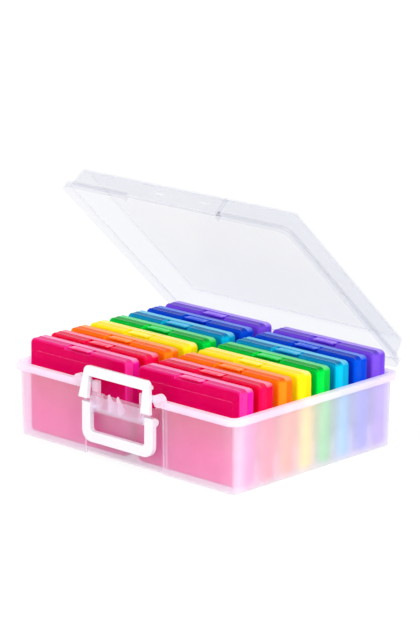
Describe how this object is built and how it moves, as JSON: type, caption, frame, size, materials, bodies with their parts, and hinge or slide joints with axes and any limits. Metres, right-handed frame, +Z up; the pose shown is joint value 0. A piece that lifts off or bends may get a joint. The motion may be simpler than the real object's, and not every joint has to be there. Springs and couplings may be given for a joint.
{
  "type": "photo keeper case",
  "caption": "Clear carrying case with a hinged lid, a swing latch and a folding handle, holding rows of tinted photo cases that lift out of its tray.",
  "frame": {"origin": "centre of the tray's flat underside", "axes": "+X to the right as the latch side is faced, +Y to the hinge side, +Z up"},
  "size_m": [0.381, 0.3325, 0.325],
  "materials": {
    "tray_frost": "frosted",
    "lid_clear": "clear",
    "white_gloss": "gloss",
    "pink_tint": "translucent",
    "red_tint": "translucent",
    "orange_tint": "translucent",
    "yellow_tint": "translucent",
    "green_tint": "translucent",
    "teal_tint": "translucent",
    "blue_tint": "translucent",
    "purple_tint": "translucent"
  },
  "bodies": {
    "tray": {"outer_tray": "tray_frost"},
    "lid": {"outer_lid": "lid_clear"},
    "latch": {"latch_frame": "white_gloss"},
    "handle": {"carry_handle": "white_gloss"},
    "pink_left_case": {"pink_left_case_body": "pink_tint", "pink_left_case_lid": "pink_tint"},
    "pink_right_case": {"pink_right_case_body": "pink_tint", "pink_right_case_lid": "pink_tint"},
    "red_left_case": {"red_left_case_body": "red_tint", "red_left_case_lid": "red_tint"},
    "red_right_case": {"red_right_case_body": "red_tint", "red_right_case_lid": "red_tint"},
    "orange_left_case": {"orange_left_case_body": "orange_tint", "orange_left_case_lid": "orange_tint"},
    "orange_right_case": {"orange_right_case_body": "orange_tint", "orange_right_case_lid": "orange_tint"},
    "yellow_left_case": {"yellow_left_case_body": "yellow_tint", "yellow_left_case_lid": "yellow_tint"},
    "yellow_right_case": {"yellow_right_case_body": "yellow_tint", "yellow_right_case_lid": "yellow_tint"},
    "green_left_case": {"green_left_case_body": "green_tint", "green_left_case_lid": "green_tint"},
    "green_right_case": {"green_right_case_body": "green_tint", "green_right_case_lid": "green_tint"},
    "teal_left_case": {"teal_left_case_body": "teal_tint", "teal_left_case_lid": "teal_tint"},
    "teal_right_case": {"teal_right_case_body": "teal_tint", "teal_right_case_lid": "teal_tint"},
    "blue_left_case": {"blue_left_case_body": "blue_tint", "blue_left_case_lid": "blue_tint"},
    "blue_right_case": {"blue_right_case_body": "blue_tint", "blue_right_case_lid": "blue_tint"},
    "purple_left_case": {"purple_left_case_body": "purple_tint", "purple_left_case_lid": "purple_tint"},
    "purple_right_case": {"purple_right_case_body": "purple_tint", "purple_right_case_lid": "purple_tint"}
  },
  "joints": [
    {"name": "lid_hinge", "type": "hinge", "parent": "tray", "child": "lid", "pos_m": [0, 0.1565, 0.09465], "axis": [-1, 0, 0], "range_deg": [-43.5, 56.5]},
    {"name": "latch_hinge", "type": "hinge", "parent": "tray", "child": "latch", "pos_m": [0, -0.151, 0.095], "axis": [1, 0, 0], "range_deg": [-12, 38]},
    {"name": "handle_hinge", "type": "hinge", "parent": "tray", "child": "handle", "pos_m": [0, -0.1495, 0.0652], "axis": [-1, 0, 0], "range_deg": [0, 90]},
    {"name": "pink_left_case_lift", "type": "slide", "parent": "tray", "child": "pink_left_case", "axis": [0, 0, 1], "range_m": [0, 0.1]},
    {"name": "pink_right_case_lift", "type": "slide", "parent": "tray", "child": "pink_right_case", "axis": [0, 0, 1], "range_m": [0, 0.1]},
    {"name": "red_left_case_lift", "type": "slide", "parent": "tray", "child": "red_left_case", "axis": [0, 0, 1], "range_m": [0, 0.1]},
    {"name": "red_right_case_lift", "type": "slide", "parent": "tray", "child": "red_right_case", "axis": [0, 0, 1], "range_m": [0, 0.1]},
    {"name": "orange_left_case_lift", "type": "slide", "parent": "tray", "child": "orange_left_case", "axis": [0, 0, 1], "range_m": [0, 0.1]},
    {"name": "orange_right_case_lift", "type": "slide", "parent": "tray", "child": "orange_right_case", "axis": [0, 0, 1], "range_m": [0, 0.1]},
    {"name": "yellow_left_case_lift", "type": "slide", "parent": "tray", "child": "yellow_left_case", "axis": [0, 0, 1], "range_m": [0, 0.1]},
    {"name": "yellow_right_case_lift", "type": "slide", "parent": "tray", "child": "yellow_right_case", "axis": [0, 0, 1], "range_m": [0, 0.1]},
    {"name": "green_left_case_lift", "type": "slide", "parent": "tray", "child": "green_left_case", "axis": [0, 0, 1], "range_m": [0, 0.1]},
    {"name": "green_right_case_lift", "type": "slide", "parent": "tray", "child": "green_right_case", "axis": [0, 0, 1], "range_m": [0, 0.1]},
    {"name": "teal_left_case_lift", "type": "slide", "parent": "tray", "child": "teal_left_case", "axis": [0, 0, 1], "range_m": [0, 0.095]},
    {"name": "teal_right_case_lift", "type": "slide", "parent": "tray", "child": "teal_right_case", "axis": [0, 0, 1], "range_m": [0, 0.095]},
    {"name": "blue_left_case_lift", "type": "slide", "parent": "tray", "child": "blue_left_case", "axis": [0, 0, 1], "range_m": [0, 0.062]},
    {"name": "blue_right_case_lift", "type": "slide", "parent": "tray", "child": "blue_right_case", "axis": [0, 0, 1], "range_m": [0, 0.062]},
    {"name": "purple_left_case_lift", "type": "slide", "parent": "tray", "child": "purple_left_case", "axis": [0, 0, 1], "range_m": [0, 0.029]},
    {"name": "purple_right_case_lift", "type": "slide", "parent": "tray", "child": "purple_right_case", "axis": [0, 0, 1], "range_m": [0, 0.029]}
  ]
}
